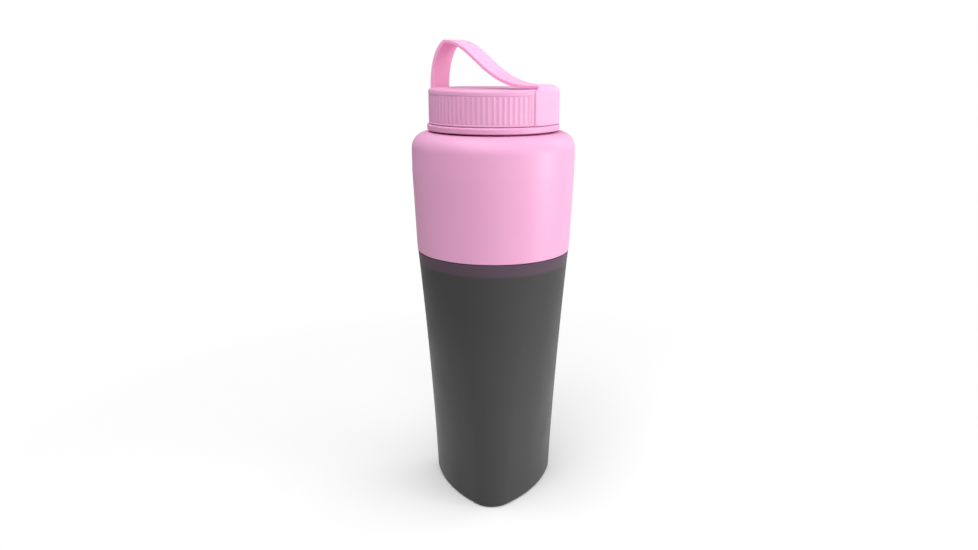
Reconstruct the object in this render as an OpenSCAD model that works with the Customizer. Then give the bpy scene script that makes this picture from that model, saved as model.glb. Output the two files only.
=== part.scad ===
// Two-part shaker bottle with a screw lid and a soft carry strap.
// Origin: centre of the base, on the surface it stands on. +Z is up.
// One corner of the rounded-triangle base points along -Y.

/* [Lower body] */
// Height of the lower body, from the base to the seam
lower_h = 131.5; // [110:0.5:160]
// Outer radius of the round rim
rim_r = 38.8; // [33:0.1:47]
// Distance from the axis to the middle of each side of the base
base_side = 26.5; // [24:0.1:28]
// Distance from the axis to each rounded corner of the base
base_corner = 34.5; // [33:0.1:36]
// Radius of the rounded corners of the base
base_corner_r = 11.9; // [9:0.1:14]
// Wall of the lower body at the base
lower_wall = 2.0; // [1.4:0.1:3]
// Thickness of the floor
floor_t = 2.4; // [1.6:0.1:4]
// Radius of the edge between the base and the wall
base_edge_r = 1.6; // [0.5:0.1:3]
// Wall of the rim outside its thread
rim_wall = 2.8; // [2.4:0.1:4]
// Depth of the hollow under the base
foot_recess = 0.8; // [0.4:0.1:1.2]
// Width of the foot ring that the bottle stands on
foot_w = 4; // [3:0.5:8]

/* [Upper body] */
// Height from the seam to the crease in the wall
taper_h = 40.2; // [30:0.2:60]
// Height from the crease to the top of the shoulder
band_h = 19; // [16:0.5:30]
// Radius gained between the seam and the crease
taper_grow = 1.75; // [0:0.05:4]
// Radius of the rounded shoulder
shoulder_r = 8; // [4:0.5:10]
// Wall of the upper body
upper_wall = 2.2; // [1.6:0.1:3]
// Length of the threaded skirt under the seam
skirt_len = 7; // [6.6:0.1:10]
// Wall of the skirt
skirt_wall = 1.9; // [1.4:0.1:2.5]
// How far the upper body stands proud of the rim
seam_step = 0.2; // [0:0.05:0.6]
// Gap that shows between the two bodies
seam_gap = 0.3; // [0.2:0.05:0.6]

/* [Neck] */
// Outer radius of the neck, without its thread
neck_r = 27.2; // [22:0.1:33]
// Height of the neck above the shoulder
neck_h = 16.6; // [15:0.2:22]
// Wall of the neck
neck_wall = 2.2; // [1.8:0.1:3]
// Width of the ledge that the mixing grid rests on
ledge_w = 1.4; // [1:0.1:2]
// Depth of that ledge below the mouth
ledge_depth = 9.6; // [7:0.1:11]

/* [Threads] */
// Height of every thread ridge
thread_h = 1.1; // [0.8:0.05:1.3]
// Clearance between a ridge and the wall that it faces
thread_gap = 0.4; // [0.3:0.05:0.6]
// Rise per turn of the two-start neck thread
neck_lead = 8; // [7.2:0.1:9]
// Rise per turn of the two-start skirt thread
skirt_lead = 6.4; // [6:0.1:7]

/* [Lid] */
// Height of the flange under the cover
flange_h = 3; // [2:0.1:4]
// How far the flange stands out past the cover
flange_out = 1.0; // [0.4:0.1:1.5]
// Gap between the flange and the shoulder
flange_gap = 0.9; // [0.6:0.1:1.5]
// Wall of the threaded core
core_wall = 1.5; // [1:0.1:2.5]
// Thickness of the core's top
core_top_t = 1; // [0.8:0.1:2]
// Wall that the cover keeps behind a strap pad
cover_web = 0.7; // [0.5:0.05:1.2]
// Thickness of the cover's top
cover_top = 1.5; // [1.2:0.1:2.5]
// Radius of the cover's top edge
cover_edge_r = 1.6; // [0.8:0.1:2]
// Number of grip ribs between the two strap pads, on each side
rib_count = 29; // [11:2:29]
// Radius of a grip rib
rib_r = 0.8; // [0.4:0.05:0.8]
// Depth of the band that the ribs stand in
rib_band_depth = 0.3; // [0.3:0.05:0.6]

/* [Strap] */
// Width of the strap
strap_w = 14.8; // [9:0.1:17]
// Thickness of the strap
strap_t = 1.7; // [1.4:0.1:2.2]
// Height of the arch above the lid
strap_rise = 23; // [18:0.2:30]
// Turn of the strap's line from the corner of the base
strap_turn = 60; // [0:1:90]
// Width of the pads on the lid's side
pad_w = 24.4; // [18:0.2:26]
// How far a pad stands out past the cover
pad_proud = 0.8; // [0.4:0.1:1.2]

/* [Seals and mixing grid] */
// Thickness of the flat lid seal
lid_seal_t = 1.6; // [1.2:0.1:2.4]
// Height of the seal between the bodies
joint_seal_h = 1.5; // [1.2:0.1:2]
// Width of the seal between the bodies
joint_seal_w = 2.3; // [1.8:0.1:2.4]
// Width of a slot in the mixing grid
slot_w = 3.4; // [2.4:0.1:3.8]
// Width of a bar between two slots
bar_w = 1.7; // [1.2:0.1:2.5]
// Thickness of the mixing grid
grid_t = 1.6; // [1.2:0.1:2.5]
// Height of the ring round the mixing grid
grid_ring_h = 4.2; // [3:0.1:6]

/* [Hidden] */

$fn = 96;
pink = "#F2B3DC";
grey = "#47464A";
clear_white = "#E9E6EA";

// Free space between pieces that only touch in use
touch_gap = 0.05;
// Radial play of pieces that slide or clip together
slip_gap = 0.2;
// Gap between the core and the cover that is pressed over it
shell_gap = 0.1;

// Lower body: rim, socket and cavity
loft_sides = 96;
loft_rings = 11;
edge_rings = 3;
side_ease = 1.3;
round_ease = 1.5;
ledge_in = 0.6;
socket_r = rim_r - rim_wall;
socket_depth = skirt_len + 2.5;
cavity_top = lower_h - socket_depth;
cavity_top_r = socket_r - ledge_in;

// Skirt and its thread
skirt_r = socket_r - thread_h - thread_gap + 0.1;
skirt_bottom = lower_h - skirt_len;
seal_seat_depth = joint_seal_h - 0.1;
thread_root_w = 1.4;
thread_crest_w = 0.8;
skirt_sweep = 180;
skirt_thread_z = skirt_bottom + 1.2;

// Upper body
upper_z = lower_h + seam_gap;
seam_r = rim_r + seam_step;
top_r = seam_r + taper_grow;
crease_z = upper_z + taper_h;
shoulder_z = crease_z + band_h;
shoulder_round = min(shoulder_r, top_r - neck_r - 3);
lip_r = 0.5;
lip_chamfer = 0.5;
neck_fillet = 0.8;
skirt_blend = 4.2;

// Neck and its thread
mouth_z = shoulder_z + neck_h;
neck_root_w = 1.8;
neck_crest_w = 1.0;
neck_sweep = 330;
neck_thread_z = shoulder_z + 6.2;
bore_r = neck_r - neck_wall;
ledge_z = mouth_z - ledge_depth;
thread_step = 6;
thread_fade = 4;
thread_embed = 0.5;

// Lid: each radius follows from the neck, and each height from the mouth
pocket_play = 0.1;
core_bore_r = neck_r + thread_h + thread_gap;
core_r = core_bore_r + core_wall;
cover_bore_r = core_r + shell_gap;
pad_inner_r = cover_bore_r + cover_web + pocket_play;
pad_outer_r = pad_inner_r + strap_t;
lid_r = pad_outer_r - pad_proud;
flange_z = shoulder_z + flange_gap;
flange_top_r = lid_r + flange_out;
flange_bottom_r = flange_top_r - 0.35;
cover_z = flange_z + flange_h + 0.2;
seal_z = mouth_z + touch_gap;
seal_top_z = seal_z + lid_seal_t;
core_ceiling_z = seal_top_z + touch_gap;
core_top_z = core_ceiling_z + core_top_t;
lid_top_z = core_top_z + shell_gap + cover_top;

// Grip ribs
rib_pitch = 4.5;
rib_bottom = cover_z + 0.6;
rib_top = lid_top_z - cover_edge_r - 1;
rib_span = rib_pitch * rib_count / 2;
rib_sink = 0.05;
rib_root = 0.3;

// Strap: along (distance from the axis along the strap's line) and height
strap_angle = -90 + strap_turn;
pad_half_angle = asin(pad_w / 2 / pad_outer_r);
pad_bottom = cover_z;
pad_edge_r = 0.5;
pad_bend = 3.1;
pad_lift = 0.1;
stud_r = 2.5;
stud_z = cover_z + 7.5;
stand_x = pad_outer_r - strap_t / 2;
rest_z = lid_top_z + pad_lift + strap_t / 2;
peak_z = lid_top_z + strap_rise - strap_t / 2;
peak_x = -stand_x + 8.2;
bend_x = stand_x - pad_bend;
land_x = bend_x - 4.8;
strap_steps = 16;

// ---- Shared shapes ----

// Radius of the long side arcs, from the tangency with the corner arcs
function side_arc_off(side, corner, cr) =
    let (a = side - cr, e = corner - cr) (e * e - a * a) / (2 * a - e);

// One point of the rounded triangle whose outline normal points along angle t
function tri_point(side, corner, cr, t) =
    let (e2 = corner - cr,
         e1 = side_arc_off(side, corner, cr),
         limit = atan2(e1 * sin(60), e2 + e1 * cos(60)),
         k = round(t / 120) * 120,
         off = t - k)
    abs(off) <= limit
        ? [e2 * cos(k) + cr * cos(t), e2 * sin(k) + cr * sin(t)]
        : let (c = k + sign(off) * 60, big = side + e1)
          [-e1 * cos(c) + big * cos(t), -e1 * sin(c) + big * sin(t)];

// Outline of the wall at the share u of its height, moved in by inset
function tri_ring(u, top, inset, z) =
    let (side = base_side + (top - base_side) * pow(u, side_ease),
         corner = base_corner + (top - base_corner) * u,
         cr = min(base_corner_r + (top * 0.98 - base_corner_r) * pow(u, round_ease), side - 0.02))
    [for (i = [0:loft_sides - 1])
        let (t = i * 360 / loft_sides, p = tri_point(side, corner, cr, t),
             q = p - inset * [cos(t), sin(t)])
        [q[1], -q[0], z]];

// Closed solid through a stack of rings, each with loft_sides points
module loft(rings) {
    n = loft_sides;
    m = len(rings);
    points = [for (ring = rings) each ring];
    walls = [for (j = [0:m - 2], i = [0:n - 1])
        let (a = j * n + i, b = j * n + (i + 1) % n)
        each [[a, a + n, b], [b, a + n, b + n]]];
    floor_face = [for (i = [0:n - 1]) i];
    roof_face = [for (i = [n - 1:-1:0]) (m - 1) * n + i];
    polyhedron(points, concat([floor_face], walls, [roof_face]));
}

// Helical ridge: low_r and high_r are its inner and outer radii, low_w and high_w its widths there
module helix_ridge(low_r, high_r, low_w, high_w, crest_is_high, lead, z, start, sweep) {
    steps = round(sweep / thread_step);
    rise = high_r - low_r - thread_embed;
    function fade(i) = (rise + 0.1) * (1 - min(1, i / thread_fade, (steps - i) / thread_fade));
    function section(i) =
        let (a = start + i * thread_step, h = z + lead * i * thread_step / 360,
             r0 = crest_is_high ? low_r : low_r + fade(i),
             r1 = crest_is_high ? high_r - fade(i) : high_r)
        [[r0 * cos(a), r0 * sin(a), h - low_w / 2], [r1 * cos(a), r1 * sin(a), h - high_w / 2],
         [r1 * cos(a), r1 * sin(a), h + high_w / 2], [r0 * cos(a), r0 * sin(a), h + low_w / 2]];
    points = [for (i = [0:steps]) each section(i)];
    sides = [for (i = [0:steps - 1], k = [0:3])
        let (a = i * 4 + k, b = i * 4 + (k + 1) % 4)
        each [[a, b, a + 4], [b, b + 4, a + 4]]];
    last = steps * 4;
    polyhedron(points, concat([[3, 2, 1, 0]], sides, [[last, last + 1, last + 2, last + 3]]));
}

// Two-start thread on the outside of radius r
module outer_thread(r, root_w, crest_w, lead, z, sweep) {
    for (start = [0, 180])
        helix_ridge(r - thread_embed, r + thread_h, root_w, crest_w, true, lead, z, start, sweep);
}

// Matching two-start thread inside radius r, a quarter turn on
module inner_thread(r, root_w, crest_w, lead, z, sweep) {
    for (start = [-90, 90])
        helix_ridge(r - thread_h, r + thread_embed, crest_w, root_w, false, lead, z, start, sweep);
}

// Flat ring
module ring(outer_r, inner_r, z, h) {
    translate([0, 0, z]) difference() {
        cylinder(r = outer_r, h = h);
        translate([0, 0, -1]) cylinder(r = inner_r, h = h + 2);
    }
}

// Points of an arc, from angle a to angle b
function arc(cx, cy, r, a, b, n = 12) =
    [for (i = [0:n]) let (t = a + (b - a) * i / n) [cx + r * cos(t), cy + r * sin(t)]];

// Point at share t of a cubic curve
function cubic(p, t) =
    pow(1 - t, 3) * p[0] + 3 * t * pow(1 - t, 2) * p[1]
    + 3 * t * t * (1 - t) * p[2] + pow(t, 3) * p[3];

// Unit direction of that curve
function cubic_dir(p, t) =
    let (d = pow(1 - t, 2) * (p[1] - p[0]) + 2 * t * (1 - t) * (p[2] - p[1]) + t * t * (p[3] - p[2]))
    d / norm(d);

// ---- Lower body ----

// Outer surface, from the rounded base edge to the rim
function outer_rings() = concat(
    [for (i = [0:edge_rings - 1])
        let (a = 90 * i / edge_rings)
        tri_ring(0, rim_r, base_edge_r * (1 - sin(a)), base_edge_r * (1 - cos(a)))],
    [for (i = [0:loft_rings])
        let (z = base_edge_r + (lower_h - base_edge_r) * i / loft_rings)
        tri_ring(z / lower_h, rim_r, 0, z)]);

// Cavity, from the rounded floor to the ledge under the socket
function inner_rings() = concat(
    [for (i = [0:edge_rings - 1])
        let (a = 90 * i / edge_rings)
        tri_ring(0, cavity_top_r + lower_wall, lower_wall + base_edge_r * (1 - sin(a)),
                 floor_t + base_edge_r * (1 - cos(a)))],
    [for (i = [0:loft_rings])
        let (low = floor_t + base_edge_r, z = low + (cavity_top + 0.5 - low) * i / loft_rings)
        tri_ring((z - low) / (cavity_top + 0.5 - low), cavity_top_r + lower_wall, lower_wall, z)]);

module foot_hollow() {
    loft([for (z = [-1, foot_recess]) tri_ring(0, rim_r, base_edge_r + foot_w, z)]);
}

module lower_body() {
    color(grey) union() {
        difference() {
            loft(outer_rings());
            loft(inner_rings());
            translate([0, 0, cavity_top]) cylinder(r = socket_r, h = socket_depth + 1);
            translate([0, 0, lower_h - seal_seat_depth])
                cylinder(r = skirt_r + joint_seal_w + 0.3, h = seal_seat_depth + 1);
            foot_hollow();
        }
        inner_thread(socket_r, thread_root_w, thread_crest_w, skirt_lead, skirt_thread_z, skirt_sweep);
    }
}

module joint_seal() {
    color(clear_white)
        ring(skirt_r + slip_gap + joint_seal_w - 0.1, skirt_r + slip_gap,
             upper_z - touch_gap - joint_seal_h, joint_seal_h);
}

// ---- Upper body ----

// Outer half outline, from the skirt's end up to the mouth
function upper_outside() = concat(
    [[skirt_r - lip_chamfer, skirt_bottom], [skirt_r, skirt_bottom + lip_chamfer], [skirt_r, upper_z]],
    arc(seam_r - lip_r, upper_z + lip_r, lip_r, -90, 0, 6),
    [[top_r, crease_z]],
    arc(top_r - shoulder_round, shoulder_z - shoulder_round, shoulder_round, 0, 90, 16),
    arc(neck_r + neck_fillet, shoulder_z + neck_fillet, neck_fillet, 270, 180, 6),
    [[neck_r, mouth_z - lip_chamfer], [neck_r - lip_chamfer, mouth_z]]);

// Inner half outline, from the mouth down to the skirt's end
function upper_inside() =
    let (inner_round = max(shoulder_round - upper_wall, 1), wall_r = top_r - upper_wall,
         low_r = skirt_r - skirt_wall)
    concat(
    [[bore_r + lip_chamfer, mouth_z], [bore_r, mouth_z - lip_chamfer], [bore_r, ledge_z],
     [bore_r - ledge_w, ledge_z], [bore_r - ledge_w, shoulder_z - upper_wall]],
    arc(wall_r - inner_round, shoulder_z - upper_wall - inner_round, inner_round, 90, 0, 12),
    [[wall_r, crease_z], [seam_r - upper_wall, upper_z + skirt_blend + 0.4],
     [low_r, upper_z + 0.4], [low_r, skirt_bottom]]);

module upper_body() {
    color(pink) union() {
        rotate_extrude() polygon(concat(upper_outside(), upper_inside()));
        outer_thread(skirt_r, thread_root_w, thread_crest_w, skirt_lead, skirt_thread_z, skirt_sweep);
        outer_thread(neck_r, neck_root_w, neck_crest_w, neck_lead, neck_thread_z, neck_sweep);
    }
}

// ---- Mixing grid ----

module mixing_grid() {
    outer_r = bore_r - slip_gap;
    slot_area_r = bore_r - ledge_w - 0.4;
    step = slot_w + bar_w;
    half_count = floor((slot_area_r - slot_w) / step);
    color(clear_white) union() {
        ring(outer_r, outer_r - 1.2, ledge_z, grid_ring_h);
        translate([0, 0, ledge_z]) difference() {
            cylinder(r = outer_r - 0.6, h = grid_t);
            for (i = [-half_count:half_count], side = [-1, 1]) {
                reach = sqrt(pow(slot_area_r, 2) - pow(abs(i * step) + slot_w / 2, 2));
                translate([i * step - slot_w / 2, side > 0 ? bar_w / 2 : -reach, -1])
                    cube([slot_w, reach - bar_w / 2, grid_t + 2]);
            }
        }
    }
}

// ---- Lid ----

module lid_seal() {
    color(clear_white)
        ring(core_bore_r - slip_gap, bore_r - 0.6, seal_z, lid_seal_t);
}

module lid_core() {
    color(pink) union() {
        rotate_extrude() polygon([
            [core_bore_r, flange_z], [flange_bottom_r - 0.4, flange_z],
            [flange_bottom_r, flange_z + 0.4], [flange_top_r, flange_z + flange_h - 0.4],
            [flange_top_r - 0.4, flange_z + flange_h], [core_r, flange_z + flange_h],
            [core_r, core_top_z], [0, core_top_z], [0, core_ceiling_z],
            [core_bore_r, core_ceiling_z]]);
        inner_thread(core_bore_r, neck_root_w, neck_crest_w, neck_lead, neck_thread_z, neck_sweep);
    }
}

// Grip rib with a round crest just under the cover's surface, its ends rooted in the cover
module rib() {
    translate([lid_r - rib_r - rib_sink, 0, rib_bottom - rib_root])
        cylinder(r = rib_r, h = rib_top - rib_bottom + 2 * rib_root, $fn = 24);
}

// Half outline of the cover, closed to the axis, with outer radius r and edge radius e
module cover_outline(r, e) {
    polygon(concat([[0, cover_z], [r - 0.3, cover_z], [r, cover_z + 0.3]],
                   arc(r - e, lid_top_z - e, e, 0, 90, 8),
                   [[0, lid_top_z]]));
}

module rib_band() {
    for (side = [-90, 90])
        rotate([0, 0, strap_angle + side - rib_span]) rotate_extrude(angle = 2 * rib_span)
            translate([lid_r - rib_band_depth, rib_bottom]) square([2, rib_top - rib_bottom]);
}

// Space in the cover for one pad, open at the bottom and over the top edge
module pad_pocket(angle) {
    half = pad_half_angle + 0.3;
    wall_r = pad_inner_r - pocket_play;
    bend = pad_bend - strap_t / 2 - pocket_play;
    rotate([0, 0, angle - half]) rotate_extrude(angle = 2 * half)
        polygon(concat([[wall_r, cover_z - 1], [lid_r + 4, cover_z - 1], [lid_r + 4, lid_top_z + 1],
                        [wall_r - bend + bend * cos(76), lid_top_z + 1]],
                       arc(wall_r - bend, lid_top_z - bend, bend, 76, 0, 8)));
}

module lid_cover() {
    color(pink) union() {
        difference() {
            rotate_extrude() cover_outline(lid_r, cover_edge_r);
            translate([0, 0, cover_z - 1])
                cylinder(r = cover_bore_r, h = core_top_z + shell_gap - cover_z + 1);
            rib_band();
            for (angle = [strap_angle, strap_angle + 180]) {
                pad_pocket(angle);
                rotate([0, 0, angle]) translate([cover_bore_r - 2, 0, stud_z]) rotate([0, 90, 0])
                    cylinder(r = stud_r + slip_gap, h = 6);
            }
        }
        for (side = [-90, 90], i = [0:rib_count - 1])
            rotate([0, 0, strap_angle + side + rib_pitch * (i - (rib_count - 1) / 2)]) rib();
    }
}

// ---- Strap ----

// Control points of the rising and the falling stretch of the arch
rising = [[-stand_x, lid_top_z], [-stand_x, lid_top_z + strap_rise * 0.74],
          [peak_x - 1.2, peak_z], [peak_x, peak_z]];
falling = [[peak_x, peak_z], [peak_x + 15.4, peak_z], [-1.5, rest_z], [land_x, rest_z]];

// One face of the strap, side = 1 on top and -1 underneath
function strap_face(side) =
    [for (curve = [rising, falling], i = [(curve == rising ? 0 : 1):strap_steps])
        let (t = i / strap_steps, p = cubic(curve, t), d = cubic_dir(curve, t))
        p + side * strap_t / 2 * [-d[1], d[0]]];

module strap_band() {
    top = strap_face(1);
    under = strap_face(-1);
    rotate([90, 0, 0]) linear_extrude(height = strap_w, center = true)
        polygon(concat([[-pad_outer_r, lid_top_z - 2]], top,
                       [[bend_x, rest_z + strap_t / 2], [bend_x, rest_z - strap_t / 2]],
                       [for (i = [len(under) - 1:-1:0]) under[i]],
                       [[-pad_inner_r, lid_top_z - 2]]));
}

// Pad on the lid's side, angle is its middle
module pad(angle) {
    rotate([0, 0, angle - pad_half_angle]) rotate_extrude(angle = 2 * pad_half_angle) children();
}

// Outline of a pad that follows the cover over its top edge
module bent_pad_outline() {
    cz = rest_z - pad_bend;
    polygon(concat([[pad_inner_r, pad_bottom], [pad_outer_r - pad_edge_r, pad_bottom],
                    [pad_outer_r, pad_bottom + pad_edge_r]],
                   arc(bend_x, cz, pad_bend + strap_t / 2, 0, 90, 10),
                   [[bend_x - 1, rest_z + strap_t / 2], [bend_x - 1, rest_z - strap_t / 2]],
                   arc(bend_x, cz, pad_bend - strap_t / 2, 90, 0, 10)));
}

// Outline of a pad that runs straight up into the strap
module straight_pad_outline() {
    polygon([[pad_inner_r, pad_bottom], [pad_outer_r - pad_edge_r, pad_bottom],
             [pad_outer_r, pad_bottom + pad_edge_r], [pad_outer_r, lid_top_z - pad_edge_r],
             [pad_outer_r - pad_edge_r, lid_top_z], [pad_inner_r, lid_top_z]]);
}

module stud() {
    translate([cover_bore_r, 0, stud_z]) rotate([0, 90, 0])
        cylinder(r = stud_r, h = pad_inner_r - cover_bore_r + 0.5);
}

module strap() {
    color(pink) union() {
        rotate([0, 0, strap_angle]) strap_band();
        pad(strap_angle) bent_pad_outline();
        pad(strap_angle + 180) straight_pad_outline();
        for (angle = [strap_angle, strap_angle + 180]) rotate([0, 0, angle]) stud();
    }
}

lower_body();
joint_seal();
upper_body();
mixing_grid();
lid_seal();
lid_core();
lid_cover();
strap();
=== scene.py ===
import math

import bpy
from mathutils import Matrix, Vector


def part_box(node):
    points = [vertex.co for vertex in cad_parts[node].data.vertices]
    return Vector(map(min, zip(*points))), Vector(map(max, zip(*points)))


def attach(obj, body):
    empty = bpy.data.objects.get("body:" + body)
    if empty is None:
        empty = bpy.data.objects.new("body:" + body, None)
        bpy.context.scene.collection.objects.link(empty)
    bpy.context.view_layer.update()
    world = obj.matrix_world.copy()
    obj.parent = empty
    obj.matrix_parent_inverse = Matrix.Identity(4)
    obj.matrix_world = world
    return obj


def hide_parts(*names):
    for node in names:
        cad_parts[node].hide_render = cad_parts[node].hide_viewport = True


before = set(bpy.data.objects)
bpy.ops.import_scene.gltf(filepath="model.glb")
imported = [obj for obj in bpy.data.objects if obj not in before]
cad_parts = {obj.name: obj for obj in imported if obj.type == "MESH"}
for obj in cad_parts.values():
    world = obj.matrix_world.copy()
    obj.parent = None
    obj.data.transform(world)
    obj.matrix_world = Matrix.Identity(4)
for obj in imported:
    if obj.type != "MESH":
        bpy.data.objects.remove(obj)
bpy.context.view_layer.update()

# Sizes are in millimetres and become metres in make_mesh. Places come from the CAD nodes' boxes, and the
# sizes written here are those of the CAD parts that the pieces stand for.
MM = 0.001


def node_box(node):
    low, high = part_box(node)
    return low / MM, high / MM


# ---------------------------------------------------------------- sizes read from the frame

_, lower_high = node_box("lower_body")
upper_low, upper_high = node_box("upper_body")
core_low, core_high = node_box("lid_core")
cover_low, cover_high = node_box("lid_cover")
_, strap_high = node_box("strap")
_, seal_high = node_box("lid_seal")

SEAM_Z = lower_high.z
RIM_R = lower_high.x
TOP_R = upper_high.x
MOUTH_Z = upper_high.z
SKIRT_Z = upper_low.z
FLANGE_Z = core_low.z
CORE_TOP = core_high.z
SEAL_TOP = seal_high.z
COVER_Z = cover_low.z
LID_R = cover_high.x
LID_TOP = cover_high.z
STRAP_TOP = strap_high.z


# ---------------------------------------------------------------- sizes of the CAD parts

# Lower body
BASE_SIDE = 26.5
BASE_CORNER = 34.5
BASE_CORNER_R = 11.9
BASE_EDGE = 1.6
SIDE_EASE = 1.3
ROUND_EASE = 1.5
LOWER_WALL = 2.0
FLOOR_T = 2.4
FOOT_RECESS = 0.8
FOOT_W = 4.0
RIM_WALL = 2.8
RIM_ROUND = 0.35
LEDGE_IN = 0.6
LEDGE_BELOW_SKIRT = 2.5
SEAT_OUT = 2.6
SEAT_DEPTH = 1.4

# Threads
THREAD_H = 1.1
THREAD_GAP = 0.4
SKIRT_LEAD = 6.4
NECK_LEAD = 8.0
SKIRT_SWEEP = 180.0
NECK_SWEEP = 330.0
SKIRT_PLAY = 0.1
THREAD_ROOT = 0.5
SKIRT_WIDTHS = (1.4, 0.8)
NECK_WIDTHS = (1.8, 1.0)

# Upper body
SEAM_GAP = 0.3
SEAM_STEP = 0.2
TAPER_H = 40.2
BAND_H = 19.0
SHOULDER_R = 8.0
UPPER_WALL = 2.2
SKIRT_WALL = 1.9
NECK_R = 27.2
NECK_WALL = 2.2
LEDGE_DEPTH = 9.6
LEDGE_W = 1.4
NECK_FILLET = 0.8

# Lid
FLANGE_H = 3.0
FLANGE_OUT = 1.0
CORE_WALL = 1.5
RIB_PITCH = 4.5
RIB_COUNT = 29
RIB_W = 2.2
RIB_BAND = 0.3
COVER_EDGE = 1.6
COVER_TOP = 1.5
POCKET_DEPTH = 1.3
SHELL_GAP = 0.1
SEAL_GAP = 0.05

# Strap
STRAP_TURN = 60.0
STRAP_W = 14.8
STRAP_T = 1.7
PAD_W = 24.4
PAD_PROUD = 0.8
PAD_BEND = 3.1
PAD_GAP = 0.25
STRAP_EDGE = 0.32
STRAP_END_EASE = 0.45
STRAP_REST_GAP = 0.1
PEAK_IN = 8.2
LAND_IN = 4.8

# Row of low ridges along the strap's falling stretch
RIDGE_START = 3.0
RIDGE_PITCH = 2.4
RIDGE_COUNT = 14
RIDGE_HALF_W = 0.8
RIDGE_REACH = 2.6
RIDGE_H = 0.22

# Worked out from the above
SOCKET_R = RIM_R - RIM_WALL
SKIRT_R = SOCKET_R - THREAD_H - THREAD_GAP + SKIRT_PLAY
UPPER_Z = SEAM_Z + SEAM_GAP
SEAM_R = RIM_R + SEAM_STEP
CREASE_Z = UPPER_Z + TAPER_H
SHOULDER_Z = CREASE_Z + BAND_H
BORE_R = NECK_R - NECK_WALL
CORE_BORE = NECK_R + THREAD_H + THREAD_GAP
CORE_R = CORE_BORE + CORE_WALL
STRAP_ANGLE = math.radians(STRAP_TURN - 90)
SKIRT_THREAD_Z = SKIRT_Z + 1.2
NECK_THREAD_Z = SHOULDER_Z + 6.2
PAD_R = LID_R + PAD_PROUD
STAND_X = PAD_R - STRAP_T / 2
REST_Z = LID_TOP + STRAP_REST_GAP + STRAP_T / 2
BEND_X = STAND_X - PAD_BEND
BEND_Z = REST_Z - PAD_BEND


# ---------------------------------------------------------------- looks, light and camera

PINK = (0.765, 0.365, 0.58)
PINK_DEEP = (0.75, 0.35, 0.565)
SOFT_PINK = (0.86, 0.41, 0.62)
SOFT_PINK_DEEP = (0.84, 0.39, 0.60)
SMOKE = (0.056, 0.056, 0.0565)
SMOKE_DEEP = (0.051, 0.051, 0.0515)
SMOKE_TINT = (0.094, 0.062, 0.086)
SEAL_GREY = (0.78, 0.76, 0.79)
SEAL_GREY_DEEP = (0.74, 0.72, 0.75)
GRID_GREY = (0.82, 0.81, 0.83)
GRID_GREY_DEEP = (0.79, 0.78, 0.8)

# The tinted band under the cup's rim fades in between these two depths
TINT_START = 6.6
TINT_FULL = 5.2

# Light that the floor far from the object sends back to it, on the left and on the right. The camera
# always sees that floor as plain white.
FLOOR_GLOW_LEFT = 0.32
FLOOR_GLOW_RIGHT = 0.9

# Studio surround: its level, and how much it rises towards each side
WORLD_LEVEL = 0.36
WORLD_RIGHT = 0.38
WORLD_BACK = 0.0
WORLD_UP = 0.28

# Softboxes: name, where each stands in millimetres, the side of its square, its power in watts
SOFTBOXES = (
    ("top", (-180, -60, 740), 460, 1.7),
    ("front_top", (-110, -430, 600), 480, 1.8),
    ("right_front", (440, -330, 330), 360, 0.40),
    ("right_low", (620, -160, 130), 300, 1.8),
    ("right_back", (500, 340, 430), 460, 0.7),
    ("left_back", (-480, 460, 430), 460, 0.15),
)
SOFTBOX_AIM = (0, 0, 110)

# Camera: distance from the bottle's axis and height in millimetres, angles in degrees, lens in mm
CAMERA_DISTANCE = 392.4
CAMERA_HEIGHT = 224.3
CAMERA_ROUND = 1.17
CAMERA_PITCH = 15.37
CAMERA_YAW = 0.316
CAMERA_LENS = 28.57


# ---------------------------------------------------------------- mesh helpers

def make_mesh(name, points, faces, sharp_deg=None):
    mesh = bpy.data.meshes.new(name)
    mesh.from_pydata([Vector(p) * MM for p in points], [], faces)
    mesh.validate()
    mesh.shade_smooth()
    if sharp_deg:
        mesh.set_sharp_from_angle(angle=math.radians(sharp_deg))
    piece = bpy.data.objects.new(name, mesh)
    bpy.context.scene.collection.objects.link(piece)
    return piece


def skin(rings, start=0, ends=True):
    """Faces over a stack of closed rings, numbered from start; both ends are closed if ends is true."""
    n = len(rings[0])
    faces = []
    for j in range(len(rings) - 1):
        a, b = start + j * n, start + (j + 1) * n
        for i in range(n):
            k = (i + 1) % n
            faces.append((a + i, a + k, b + k, b + i))
    if ends:
        faces.append(tuple(start + i for i in reversed(range(n))))
        top = start + (len(rings) - 1) * n
        faces.append(tuple(top + i for i in range(n)))
    return faces


def add_shell(points, faces, rings):
    """Adds a closed stack of rings to a mesh in the making."""
    faces += skin(rings, len(points))
    for ring in rings:
        points.extend(ring)


def add_closed_lathe(points, faces, rings):
    """Adds rings whose last one joins the first, as round a pipe's wall."""
    n = len(rings[0])
    last = (len(rings) - 1) * n
    faces += skin(rings, ends=False)
    faces += [(last + i, last + (i + 1) % n, (i + 1) % n, i) for i in range(n)]
    for ring in rings:
        points.extend(ring)


def arc(cx, cz, r, a, b, n=8):
    """Points of an arc in the radius and height plane, angles in degrees."""
    steps = [math.radians(a + (b - a) * i / n) for i in range(n + 1)]
    return [(cx + r * math.cos(t), cz + r * math.sin(t)) for t in steps]


def with_support(profile, margin=0.25, shortest=1.2):
    """Adds points near both ends of each long straight stretch, so that smooth shading stays flat there."""
    out = [profile[0]]
    for (r0, z0), (r1, z1) in zip(profile, profile[1:]):
        length = math.hypot(r1 - r0, z1 - z0)
        if length > shortest:
            share = margin / length
            for s in (share, 1 - share):
                out.append((r0 + (r1 - r0) * s, z0 + (z1 - z0) * s))
        out.append((r1, z1))
    return out


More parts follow.
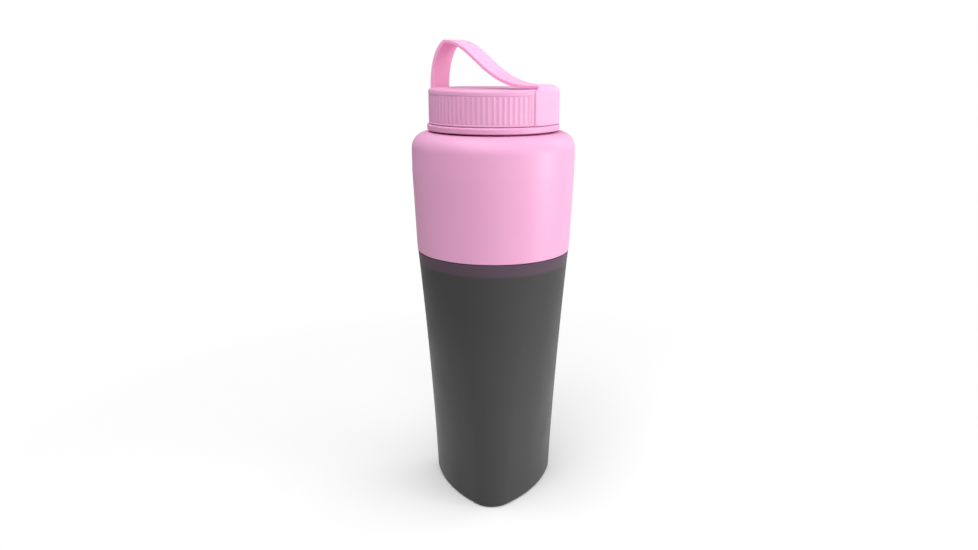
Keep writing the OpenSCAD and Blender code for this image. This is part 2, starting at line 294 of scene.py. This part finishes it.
def rounded(profile, radii, n=5):
    """Rounds the inner corners of a profile, one radius for each of its points."""
    out = [profile[0]]
    for before, here, after, r in zip(profile, profile[1:], profile[2:], radii[1:]):
        if r <= 0:
            out.append(here)
            continue
        p, a, b = Vector(here), Vector(before) - Vector(here), Vector(after) - Vector(here)
        a.normalize()
        b.normalize()
        half = a.angle(b) / 2
        cut = r / math.tan(half)
        start, end = p + a * cut, p + b * cut
        centre = p + (a + b).normalized() * (r / math.sin(half))
        u, v = start - centre, end - centre
        turn = u.angle(v)
        for i in range(n + 1):
            t = i / n
            d = (u * math.sin((1 - t) * turn) + v * math.sin(t * turn)) / math.sin(turn)
            out.append(tuple(centre + d))
    out.append(profile[-1])
    return out


def lathe_rings(profile, sides):
    """One ring of points round Z for each (radius, height) of a profile."""
    turns = [2 * math.pi * i / sides for i in range(sides)]
    return [[(r * math.cos(t), r * math.sin(t), z) for t in turns] for r, z in profile]


def helix_ridge(points, faces, low_r, high_r, low_w, high_w, crest_high, lead, z, start, sweep):
    """Adds one thread ridge whose ends fade into the wall."""
    step, fade_steps, fade_share, round_share, shoulder = 3.0, 8, 0.62, 0.22, 0.06
    steps = round(sweep / step)
    rings = []
    for i in range(steps + 1):
        near = min(i, steps - i) / fade_steps
        fade = (high_r - low_r) * (1 - math.sin(min(1.0, near) * math.pi / 2)) * fade_share
        a = math.radians(start + i * step)
        h = z + lead * i * step / 360
        r0 = low_r if crest_high else low_r + fade
        r1 = high_r - fade if crest_high else high_r
        crest = r1 if crest_high else r0
        root = r0 if crest_high else r1
        crest_w, root_w = (high_w, low_w) if crest_high else (low_w, high_w)
        cut = (crest - root) * round_share
        outline = [(root, -root_w / 2), (crest - cut, -crest_w / 2 - shoulder), (crest, -crest_w / 4),
                   (crest, crest_w / 4), (crest - cut, crest_w / 2 + shoulder), (root, root_w / 2)]
        if not crest_high:
            outline.reverse()
        rings.append([(r * math.cos(a), r * math.sin(a), h + dz) for r, dz in outline])
    add_shell(points, faces, rings)


def outer_thread(points, faces, r, widths, lead, z, sweep):
    """Two-start thread standing out from a wall of radius r; widths are at its foot and its crest."""
    for start in (0, 180):
        helix_ridge(points, faces, r - THREAD_ROOT, r + THREAD_H, widths[0], widths[1], True,
                    lead, z, start, sweep)


def inner_thread(points, faces, r, widths, lead, z, sweep):
    """Two-start thread standing in from a bore of radius r."""
    for start in (-90, 90):
        helix_ridge(points, faces, r - THREAD_H, r + THREAD_ROOT, widths[1], widths[0], False,
                    lead, z, start, sweep)


# ---------------------------------------------------------------- lower body

LOFT_SIDES = 288


def triangle_point(side, corner, cr, t):
    """Point of the rounded triangle whose outline faces along angle t; a corner lies at angle 0."""
    a, e = side - cr, corner - cr
    e1 = (e * e - a * a) / (2 * a - e)
    third = 2 * math.pi / 3
    limit = math.atan2(e1 * math.sin(math.pi / 3), e + e1 * math.cos(math.pi / 3))
    k = round(t / third) * third
    off = t - k
    if abs(off) <= limit:
        return e * math.cos(k) + cr * math.cos(t), e * math.sin(k) + cr * math.sin(t)
    c = k + math.copysign(math.pi / 3, off)
    big = side + e1
    return -e1 * math.cos(c) + big * math.cos(t), -e1 * math.sin(c) + big * math.sin(t)


def triangle_ring(u, top, inset, z):
    """Outline at height z, moved in by inset; u runs from 0, the triangle, to 1, a circle of radius top."""
    side = BASE_SIDE + (top - BASE_SIDE) * u ** SIDE_EASE
    corner = BASE_CORNER + (top - BASE_CORNER) * u
    cr = min(BASE_CORNER_R + (top * 0.98 - BASE_CORNER_R) * u ** ROUND_EASE, side - 0.02)
    ring = []
    for i in range(LOFT_SIDES):
        t = 2 * math.pi * i / LOFT_SIDES
        x, y = triangle_point(side, corner, cr, t)
        x, y = x - inset * math.cos(t), y - inset * math.sin(t)
        ring.append((y, -x, z))
    return ring


def round_ring(r, z):
    ring = []
    for i in range(LOFT_SIDES):
        t = 2 * math.pi * i / LOFT_SIDES
        ring.append((r * math.sin(t), -r * math.cos(t), z))
    return ring


def quarter(n):
    """Angles of a quarter turn in n steps, in radians."""
    return [math.radians(90 * i / n) for i in range(n + 1)]


def build_lower_body():
    """Cup from the hollow under its foot, up the outside, over the rim and down the inside to its floor."""
    foot_in = BASE_EDGE + FOOT_W
    rings = [triangle_ring(0, RIM_R, foot_in + s, FOOT_RECESS) for s in (12, 6, 1.2, 0.4)]
    inner_round, foot_round = 0.4, 0.3
    rings += [triangle_ring(0, RIM_R, foot_in + inner_round * (1 - math.sin(a)),
                            FOOT_RECESS - inner_round * (1 - math.cos(a))) for a in quarter(4)[1:]]
    rings += [triangle_ring(0, RIM_R, foot_in - foot_round * (1 - math.cos(a)),
                            foot_round * (1 - math.sin(a))) for a in quarter(4)]
    rings += [triangle_ring(0, RIM_R, foot_in - 0.6, 0), triangle_ring(0, RIM_R, BASE_EDGE + 0.3, 0)]
    rings += [triangle_ring(0, RIM_R, BASE_EDGE * (1 - math.sin(a)), BASE_EDGE * (1 - math.cos(a)))
              for a in quarter(10)]
    wall_rings = 56
    for i in range(1, wall_rings + 1):
        z = BASE_EDGE + (SEAM_Z - RIM_ROUND - BASE_EDGE) * i / wall_rings
        rings.append(triangle_ring(z / SEAM_Z, RIM_R, 0, z))
    rings += [triangle_ring(1, RIM_R, RIM_ROUND * (1 - math.cos(a)), SEAM_Z - RIM_ROUND * (1 - math.sin(a)))
              for a in quarter(5)[1:]]
    seat_r = SKIRT_R + SEAT_OUT
    seat_z = SEAM_Z - SEAT_DEPTH
    ledge_z = SKIRT_Z - LEDGE_BELOW_SKIRT
    inside = rounded([(seat_r + 0.9, SEAM_Z), (seat_r, SEAM_Z), (seat_r, seat_z), (SOCKET_R, seat_z),
                      (SOCKET_R, ledge_z), (SOCKET_R - LEDGE_IN, ledge_z)], (0, 0.2, 0.15, 0.2, 0.2, 0), 3)
    rings += [round_ring(r, z) for r, z in with_support(inside)]
    low = FLOOR_T + BASE_EDGE
    cavity_top_r = SOCKET_R - LEDGE_IN + LOWER_WALL
    inner_rings = 30
    for i in range(inner_rings + 1):
        z = ledge_z - 0.3 + (low - ledge_z + 0.3) * i / inner_rings
        rings.append(triangle_ring((z - low) / (ledge_z - low), cavity_top_r, LOWER_WALL, z))
    rings += [triangle_ring(0, RIM_R, LOWER_WALL + BASE_EDGE * (1 - math.cos(a)),
                            low - BASE_EDGE * math.sin(a)) for a in quarter(6)[1:]]
    rings += [triangle_ring(0, RIM_R, LOWER_WALL + BASE_EDGE + s, FLOOR_T) for s in (0.4, 8, 14)]
    points, faces = [], []
    add_shell(points, faces, rings)
    inner_thread(points, faces, SOCKET_R, SKIRT_WIDTHS, SKIRT_LEAD, SKIRT_THREAD_Z, SKIRT_SWEEP)
    return make_mesh("cup_shell", points, faces, 50)


# ---------------------------------------------------------------- upper body

def build_upper_body():
    low_r = SKIRT_R - SKIRT_WALL
    inner_r = TOP_R - UPPER_WALL
    inner_round = SHOULDER_R - UPPER_WALL
    profile = rounded([(low_r + 0.9, SKIRT_Z), (SKIRT_R, SKIRT_Z), (SKIRT_R, UPPER_Z), (SEAM_R, UPPER_Z),
                       (TOP_R, CREASE_Z)], (0, 0.4, 0.2, 0.5, 0), 6)[:-1]
    profile += [(TOP_R - 0.06, CREASE_Z - 0.8), (TOP_R, CREASE_Z), (TOP_R - 0.02, CREASE_Z + 0.7)]
    profile += arc(TOP_R - SHOULDER_R, SHOULDER_Z - SHOULDER_R, SHOULDER_R, 0, 90, 32)
    profile += arc(NECK_R + NECK_FILLET, SHOULDER_Z + NECK_FILLET, NECK_FILLET, 270, 180, 8)
    profile += rounded([(NECK_R, SHOULDER_Z + 1.0), (NECK_R, MOUTH_Z), (BORE_R, MOUTH_Z),
                        (BORE_R, MOUTH_Z - LEDGE_DEPTH), (BORE_R - LEDGE_W, MOUTH_Z - LEDGE_DEPTH),
                        (BORE_R - LEDGE_W, SHOULDER_Z - UPPER_WALL),
                        (inner_r - inner_round, SHOULDER_Z - UPPER_WALL)],
                       (0, 0.8, 0.5, 0.15, 0.2, 0.4, 0), 5)[:-1]
    profile += arc(inner_r - inner_round, SHOULDER_Z - UPPER_WALL - inner_round, inner_round, 90, 0, 16)
    profile += [(inner_r, CREASE_Z), (SEAM_R - UPPER_WALL, UPPER_Z + 4.6), (low_r, UPPER_Z + 0.4),
                (low_r, SKIRT_Z + 0.3), (low_r + 0.3, SKIRT_Z)]
    points, faces = [], []
    add_closed_lathe(points, faces, lathe_rings(with_support(profile), 256))
    outer_thread(points, faces, SKIRT_R, SKIRT_WIDTHS, SKIRT_LEAD, SKIRT_THREAD_Z, SKIRT_SWEEP)
    outer_thread(points, faces, NECK_R, NECK_WIDTHS, NECK_LEAD, NECK_THREAD_Z, NECK_SWEEP)
    return make_mesh("upper_shell", points, faces, 50)


# ---------------------------------------------------------------- lid

def build_lid_core():
    top_r = LID_R + FLANGE_OUT
    ceiling = SEAL_TOP + SEAL_GAP
    centre_r = 0.4
    profile = rounded([(CORE_BORE, FLANGE_Z), (top_r - 0.35, FLANGE_Z), (top_r, FLANGE_Z + FLANGE_H),
                       (CORE_R, FLANGE_Z + FLANGE_H), (CORE_R, CORE_TOP), (centre_r, CORE_TOP)],
                      (0, 0.5, 0.8, 0.1, 0.4, 0), 6)
    profile[0] = (CORE_BORE + 0.3, FLANGE_Z)
    inside = rounded([(centre_r, ceiling), (CORE_BORE, ceiling), (CORE_BORE, FLANGE_Z + 0.3)], (0, 0.4, 0), 4)
    rings = lathe_rings(with_support(profile) + [(centre_r, CORE_TOP - 0.2)] + with_support(inside), 224)
    points, faces = [], []
    add_closed_lathe(points, faces, rings)
    inner_thread(points, faces, CORE_BORE, NECK_WIDTHS, NECK_LEAD, NECK_THREAD_Z, NECK_SWEEP)
    return make_mesh("lid_core_shell", points, faces, 50)


def smooth(x):
    """Goes softly from 0 to 1 as x does."""
    x = max(0.0, min(1.0, x))
    return x * x * (3 - 2 * x)


def left_pad_half(z):
    """Half width of the strap's left end: wide on the lid's side, and the strap's own width at its top."""
    flare = 1 - smooth((z - LID_TOP + 3.6) / 3.4)
    return (STRAP_W + (PAD_W - STRAP_W) * flare) / 2


def right_pad_half(z):
    """Half width of the right end, which narrows while it bends over the lid's top edge."""
    rise = max(0.0, min(1.0, (z - BEND_Z) / PAD_BEND))
    flare = 1 - smooth(math.asin(rise) / math.radians(90) * 1.05)
    return (STRAP_W + (PAD_W - STRAP_W) * flare) / 2


def build_lid_cover():
    steps = 1440
    rib_low, rib_high = COVER_Z + 0.6, LID_TOP - COVER_EDGE - 1
    zone_half = RIB_PITCH * RIB_COUNT / 2
    strap_deg = math.degrees(STRAP_ANGLE)
    heights = [COVER_Z + 0.3, COVER_Z + 0.45]
    heights += [rib_low - 0.2 + 0.12 * i for i in range(14)]
    middle = 6
    a, b = rib_low + 1.6, rib_high - 1.6
    heights += [a + (b - a) * i / middle for i in range(middle + 1)]
    heights += [rib_high - 1.45 + 0.12 * i for i in range(14)]
    heights += [LID_TOP - COVER_EDGE - 0.3, LID_TOP - COVER_EDGE]

    def side_radius(deg, z):
        """Radius of the cover's side, ribs, recessed bands and strap pockets included."""
        from_right = abs((deg - strap_deg + 180) % 360 - 180)
        from_pad = min(from_right, 180 - from_right)
        half_w = right_pad_half(z) if from_right < 90 else left_pad_half(z)
        if from_pad < math.degrees(math.asin((half_w + PAD_GAP) / PAD_R)):
            return LID_R - POCKET_DEPTH
        along = abs((deg - strap_deg) % 180 - 90)
        edge = min(z - rib_low, rib_high - z, (zone_half - along) * math.radians(1) * LID_R)
        r = LID_R - RIB_BAND * smooth(edge / 0.4)
        place = (deg - strap_deg - 90 + RIB_PITCH / 2) % RIB_PITCH - RIB_PITCH / 2
        across = place * math.radians(1) * LID_R
        half = RIB_W / 2
        past = max(0.0, rib_low + half - z, z - (rib_high - half))
        reach = across * across + past * past
        if reach < half * half and along < zone_half:
            crest = (0.5 + 0.5 * math.cos(math.pi * math.sqrt(reach) / half)) * (RIB_BAND - 0.03)
            r = max(r, LID_R - RIB_BAND + crest)
        return r

    angles = [360 * i / steps for i in range(steps)]
    rings = []

    def plain_ring(r, z):
        rings.append([(r * math.cos(math.radians(d)), r * math.sin(math.radians(d)), z) for d in angles])

    def shaped_ring(z, inset=0.0, drop=0.0):
        ring = []
        for d in angles:
            r = side_radius(d, z - drop) - inset
            ring.append((r * math.cos(math.radians(d)), r * math.sin(math.radians(d)), z - drop))
        rings.append(ring)

    bore = CORE_R + SHELL_GAP
    for z in (LID_TOP - COVER_TOP, COVER_Z + 0.3):
        plain_ring(bore, z)
    plain_ring(bore + 0.3, COVER_Z)
    shaped_ring(COVER_Z + 0.3, 0.3, 0.3)
    for z in heights:
        shaped_ring(z)
    edge_z = LID_TOP - COVER_EDGE
    for t in quarter(10)[1:]:
        shaped_ring(edge_z, COVER_EDGE * (1 - math.cos(t)), -COVER_EDGE * math.sin(t))
    dish = [(3.2, 0.0), (3.9, -0.1), (4.8, -0.26), (6.2, -0.36), (8.0, -0.4), (20.0, -0.4), (31.0, -0.4)]
    for inset, dz in dish:
        plain_ring(LID_R - inset, LID_TOP + dz)
    points, faces = [], []
    add_shell(points, faces, rings)
    return make_mesh("lid_cover_shell", points, faces, 60)


# ---------------------------------------------------------------- strap

def cubic(p, t):
    """Point at t on the Bezier curve with the four control points in p."""
    s = 1 - t
    return tuple(s ** 3 * a + 3 * s * s * t * b + 3 * s * t * t * c + t ** 3 * d for a, b, c, d in zip(*p))


def strap_path():
    """Middle line of the strap as (along, height), from the bottom of one pad to the bottom of the other."""
    rise = STRAP_TOP - LID_TOP
    peak_x, peak_z = -STAND_X + PEAK_IN, STRAP_TOP - STRAP_T / 2
    land_x = BEND_X - LAND_IN
    bottom = COVER_Z + 0.05
    path = [(-STAND_X, bottom + (LID_TOP - bottom) * i / 40) for i in range(40)]
    rising = ((-STAND_X, LID_TOP), (-STAND_X, LID_TOP + rise * 0.74),
              (peak_x - 1.2, peak_z), (peak_x, peak_z))
    falling = ((peak_x, peak_z), (peak_x + 15.4, peak_z), (-1.5, REST_Z), (land_x, REST_Z))
    path += [cubic(rising, i / 40) for i in range(40)]
    path += [cubic(falling, i / 180) for i in range(180)]
    path += [(land_x + (BEND_X - land_x) * i / 8, REST_Z) for i in range(8)]
    path += arc(BEND_X, BEND_Z, PAD_BEND, 90, 0, 24)
    path += [(STAND_X, BEND_Z + (bottom - BEND_Z) * i / 24) for i in range(1, 25)]
    return path


def strap_section(half_w, thick, edge):
    """Closed outline of the strap as (across, out), with rounded edges."""
    t = thick / 2
    flat = 30
    points = []
    for sx, sy, start in ((1, 1, 0), (-1, 1, 90), (-1, -1, 180), (1, -1, 270)):
        for i in range(6):
            ang = math.radians(start + 18 * i)
            points.append((sx * (half_w - edge) + edge * math.cos(ang),
                           sy * (t - edge) + edge * math.sin(ang)))
        if sx == sy:
            points += [(sx * (half_w - edge) * (1 - 2 * j / flat), sy * t) for j in range(1, flat)]
    return points


def strap_normal(path, i):
    """Outward direction at point i of the strap's middle line."""
    a, b = path[max(i - 1, 0)], path[min(i + 1, len(path) - 1)]
    dx, dz = b[0] - a[0], b[1] - a[1]
    length = math.hypot(dx, dz)
    return -dz / length, dx / length


def path_lengths(path):
    """Length along the path up to each of its points."""
    total = [0.0]
    for (x0, z0), (x1, z1) in zip(path, path[1:]):
        total.append(total[-1] + math.hypot(x1 - x0, z1 - z0))
    return total


def to_world(along, across, z):
    """Turns a point of the strap's own frame to where the strap lies on the lid."""
    c, s = math.cos(STRAP_ANGLE), math.sin(STRAP_ANGLE)
    return along * c - across * s, along * s + across * c, z


def strap_half_width(x, z):
    if x < 0:
        return left_pad_half(z) if z < LID_TOP else STRAP_W / 2
    return right_pad_half(z) if x > BEND_X - 0.01 else STRAP_W / 2


def relief_lift(run, across):
    """Height of the row of low rounded ridges pressed into the strap, run millimetres past its peak."""
    k = max(0, min(RIDGE_COUNT - 1, round((run - RIDGE_START) / RIDGE_PITCH)))
    off = abs(run - RIDGE_START - k * RIDGE_PITCH) / RIDGE_HALF_W
    if off >= 1:
        return 0.0
    return RIDGE_H * math.cos(off * math.pi / 2) * (1 - smooth((abs(across) - RIDGE_REACH + 0.6) / 0.6))


def build_strap():
    path = strap_path()
    lengths = path_lengths(path)
    bend_end = next(i for i, (x, z) in enumerate(path) if x >= BEND_X)
    peak = lengths[max(range(len(path)), key=lambda i: path[i][1])]
    rings = []
    for i, (x, z) in enumerate(path):
        half = strap_half_width(x, z)
        end = min(lengths[i], lengths[-1] - lengths[i])
        thin = max(0.0, STRAP_END_EASE - end)
        if x < 0:
            wrap = 1 - smooth((z - LID_TOP + 3.4) / 3.4)
        else:
            wrap = 1 - smooth((lengths[bend_end] - lengths[i]) / 6.0)
        nx, nz = strap_normal(path, i)
        ring = []
        for across, out in strap_section(half, STRAP_T - thin, STRAP_EDGE):
            if out > STRAP_T / 2 - 0.001:
                out += relief_lift(lengths[i] - peak, across)
            sag = wrap * (PAD_R - math.sqrt(PAD_R ** 2 - across ** 2))
            along = x + nx * (out - thin / 2)
            ring.append(to_world(along - math.copysign(sag, x), across, z + nz * (out - thin / 2)))
        rings.append(ring)
    points, faces = [], []
    add_shell(points, faces, rings)
    return make_mesh("carry_strap", points, faces, 50)


# ---------------------------------------------------------------- materials

def new_material(name):
    mat = bpy.data.materials.new(name)
    mat.use_nodes = True
    nodes, links = mat.node_tree.nodes, mat.node_tree.links
    return mat, nodes, links, nodes["Principled BSDF"]


def noise(nodes, links, coords, scale, detail=2.0, rough=0.5):
    node = nodes.new("ShaderNodeTexNoise")
    node.inputs["Scale"].default_value = scale
    node.inputs["Detail"].default_value = detail
    node.inputs["Roughness"].default_value = rough
    links.new(coords, node.inputs["Vector"])
    return node.outputs["Fac"]


def remap(nodes, links, value, low, high, to_low, to_high):
    node = nodes.new("ShaderNodeMapRange")
    node.inputs["From Min"].default_value = low
    node.inputs["From Max"].default_value = high
    node.inputs["To Min"].default_value = to_low
    node.inputs["To Max"].default_value = to_high
    links.new(value, node.inputs["Value"])
    return node.outputs["Result"]


def blend_colour(nodes, links, share, a, b):
    node = nodes.new("ShaderNodeMix")
    node.data_type = "RGBA"
    links.new(share, node.inputs["Factor"])
    for socket, value in ((6, a), (7, b)):
        if isinstance(value, tuple):
            node.inputs[socket].default_value = (*value, 1)
        else:
            links.new(value, node.inputs[socket])
    return node.outputs[2]


def add_bump(nodes, links, shader, height, strength, distance):
    node = nodes.new("ShaderNodeBump")
    node.inputs["Strength"].default_value = strength
    node.inputs["Distance"].default_value = distance
    links.new(height, node.inputs["Height"])
    links.new(node.outputs["Normal"], shader.inputs["Normal"])


def moulded_plastic(name, colour, shade, roughness, grain, subsurface=0.0, radius=(1, 1, 1)):
    """Satin moulded plastic: faint cloudy colour, fine spark-eroded grain and uneven gloss."""
    mat, nodes, links, shader = new_material(name)
    coords = nodes.new("ShaderNodeTexCoord").outputs["Object"]
    cloud = noise(nodes, links, coords, 22, 3)
    links.new(blend_colour(nodes, links, remap(nodes, links, cloud, 0.3, 0.7, 0, 1), colour, shade),
              shader.inputs["Base Color"])
    gloss = noise(nodes, links, coords, 60, 4)
    links.new(remap(nodes, links, gloss, 0.3, 0.7, roughness - 0.04, roughness + 0.05),
              shader.inputs["Roughness"])
    add_bump(nodes, links, shader, noise(nodes, links, coords, grain, 2), 0.12, 0.00004)
    if subsurface:
        shader.inputs["Subsurface Weight"].default_value = subsurface
        shader.inputs["Subsurface Radius"].default_value = radius
        shader.inputs["Subsurface Scale"].default_value = 0.003
    return mat


def smoke_plastic():
    """Dark plastic, opaque here; the band under the rim has the tint of the skirt that shows through it."""
    mat, nodes, links, shader = new_material("smoke_plastic")
    coords = nodes.new("ShaderNodeTexCoord").outputs["Object"]
    split = nodes.new("ShaderNodeSeparateXYZ")
    links.new(coords, split.inputs["Vector"])
    height = split.outputs["Z"]
    cloud = remap(nodes, links, noise(nodes, links, coords, 18, 3), 0.3, 0.7, 0, 1)
    base = blend_colour(nodes, links, cloud, SMOKE, SMOKE_DEEP)
    soft = remap(nodes, links, height, (SEAM_Z - TINT_START) * MM, (SEAM_Z - TINT_FULL) * MM, 0, 1)
    tinted = blend_colour(nodes, links, soft, base, SMOKE_TINT)
    links.new(tinted, shader.inputs["Base Color"])
    links.new(remap(nodes, links, noise(nodes, links, coords, 60, 4), 0.3, 0.7, 0.36, 0.44),
              shader.inputs["Roughness"])
    shader.inputs["Specular IOR Level"].default_value = 0.14
    add_bump(nodes, links, shader, noise(nodes, links, coords, 2600, 2), 0.1, 0.00003)
    return mat


pink_hard = moulded_plastic("pink_plastic", PINK, PINK_DEEP, 0.42, 2400, 0.12, (1.0, 0.5, 0.7))
pink_soft = moulded_plastic("pink_soft", SOFT_PINK, SOFT_PINK_DEEP, 0.5, 1800, 0.4, (1.0, 0.5, 0.9))
seal_rubber = moulded_plastic("seal_rubber", SEAL_GREY, SEAL_GREY_DEEP, 0.55, 1500)
grid_plastic = moulded_plastic("grid_plastic", GRID_GREY, GRID_GREY_DEEP, 0.35, 2000)
smoke = smoke_plastic()


# ---------------------------------------------------------------- pieces on their bodies

def place(piece, material, body, node, slot):
    """Gives a piece its material and its body, and hides the CAD node that it stands for. The slot argument
    is not used.
    """
    piece.data.materials.append(material)
    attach(piece, body)
    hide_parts(node)


place(build_lower_body(), smoke, "lower", "lower_body", "smoke_plastic")
place(build_upper_body(), pink_hard, "upper", "upper_body", "pink_plastic")
place(build_lid_core(), pink_hard, "lid", "lid_core", "pink_plastic")
place(build_lid_cover(), pink_hard, "lid", "lid_cover", "pink_plastic")
place(build_strap(), pink_soft, "lid", "strap", "pink_soft")

for node, material in (("joint_seal", seal_rubber), ("lid_seal", seal_rubber), ("mixing_grid", grid_plastic)):
    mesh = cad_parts[node].data
    mesh.materials.clear()
    mesh.materials.append(material)


# ---------------------------------------------------------------- stage, light and camera

def build_floor():
    """Pale floor that catches the soft shadows near the object and is plain white further out."""
    half = 60000
    corners = [(-half, -half, 0), (half, -half, 0), (half, half, 0), (-half, half, 0)]
    floor = make_mesh("floor", corners, [(0, 1, 2, 3)])
    mat, nodes, links, shader = new_material("pale_floor")
    shader.inputs["Base Color"].default_value = (0.9, 0.9, 0.9, 1)
    shader.inputs["Roughness"].default_value = 0.9
    shader.inputs["Specular IOR Level"].default_value = 0.0
    coords = nodes.new("ShaderNodeTexCoord").outputs["Object"]
    distance = nodes.new("ShaderNodeVectorMath")
    distance.operation = "LENGTH"
    links.new(coords, distance.inputs[0])
    split = nodes.new("ShaderNodeSeparateXYZ")
    links.new(coords, split.inputs["Vector"])
    glow = nodes.new("ShaderNodeMath")
    glow.operation = "MAXIMUM"
    links.new(remap(nodes, links, split.outputs["X"], -0.5, 0.6, FLOOR_GLOW_LEFT, FLOOR_GLOW_RIGHT),
              glow.inputs[0])
    links.new(nodes.new("ShaderNodeLightPath").outputs["Is Camera Ray"], glow.inputs[1])
    white = nodes.new("ShaderNodeEmission")
    links.new(glow.outputs["Value"], white.inputs["Strength"])
    mix = nodes.new("ShaderNodeMixShader")
    links.new(remap(nodes, links, distance.outputs["Value"], 0.12, 0.32, 0, 1), mix.inputs["Fac"])
    links.new(shader.outputs["BSDF"], mix.inputs[1])
    links.new(white.outputs["Emission"], mix.inputs[2])
    links.new(mix.outputs["Shader"], nodes["Material Output"].inputs["Surface"])
    floor.data.materials.append(mat)


def build_world():
    """Soft studio surround, brighter on the right and above; the camera sees it as plain white."""
    world = bpy.data.worlds.new("studio")
    bpy.context.scene.world = world
    world.use_nodes = True
    nodes, links = world.node_tree.nodes, world.node_tree.links
    nodes.clear()
    lean = nodes.new("ShaderNodeVectorMath")
    lean.operation = "DOT_PRODUCT"
    links.new(nodes.new("ShaderNodeTexCoord").outputs["Generated"], lean.inputs[0])
    lean.inputs[1].default_value = (WORLD_RIGHT, WORLD_BACK, WORLD_UP)
    soft = nodes.new("ShaderNodeBackground")
    not_negative = nodes.new("ShaderNodeMath")
    not_negative.operation = "MAXIMUM"
    not_negative.inputs[1].default_value = 0.0
    links.new(remap(nodes, links, lean.outputs["Value"], -1, 1, WORLD_LEVEL - 1, WORLD_LEVEL + 1),
              not_negative.inputs[0])
    links.new(not_negative.outputs["Value"], soft.inputs["Strength"])
    plain = nodes.new("ShaderNodeBackground")
    plain.inputs["Color"].default_value = (1, 1, 1, 1)
    soft.inputs["Color"].default_value = (1, 1, 1, 1)
    path = nodes.new("ShaderNodeLightPath")
    mix = nodes.new("ShaderNodeMixShader")
    links.new(path.outputs["Is Camera Ray"], mix.inputs["Fac"])
    links.new(soft.outputs["Background"], mix.inputs[1])
    links.new(plain.outputs["Background"], mix.inputs[2])
    out = nodes.new("ShaderNodeOutputWorld")
    links.new(mix.outputs["Shader"], out.inputs["Surface"])


def build_softboxes():
    target = Vector(SOFTBOX_AIM)
    for name, place_mm, side, power in SOFTBOXES:
        light = bpy.data.lights.new(name, "AREA")
        light.shape = "SQUARE"
        light.size = side * MM
        light.energy = power
        lamp = bpy.data.objects.new(name, light)
        bpy.context.scene.collection.objects.link(lamp)
        lamp.location = Vector(place_mm) * MM
        lamp.rotation_euler = (target - Vector(place_mm)).to_track_quat("-Z", "Y").to_euler()


def build_camera():
    turn = math.radians(CAMERA_ROUND)
    reach = CAMERA_DISTANCE
    data = bpy.data.cameras.new("camera")
    data.sensor_width = 36
    data.lens = CAMERA_LENS
    camera = bpy.data.objects.new("camera", data)
    bpy.context.scene.collection.objects.link(camera)
    camera.location = (reach * math.sin(turn) * MM, -reach * math.cos(turn) * MM, CAMERA_HEIGHT * MM)
    camera.rotation_euler = (math.pi / 2 - math.radians(CAMERA_PITCH), 0, turn + math.radians(CAMERA_YAW))
    bpy.context.scene.camera = camera


build_floor()
build_world()
build_softboxes()
build_camera()
bpy.context.scene.view_settings.view_transform = "Standard"
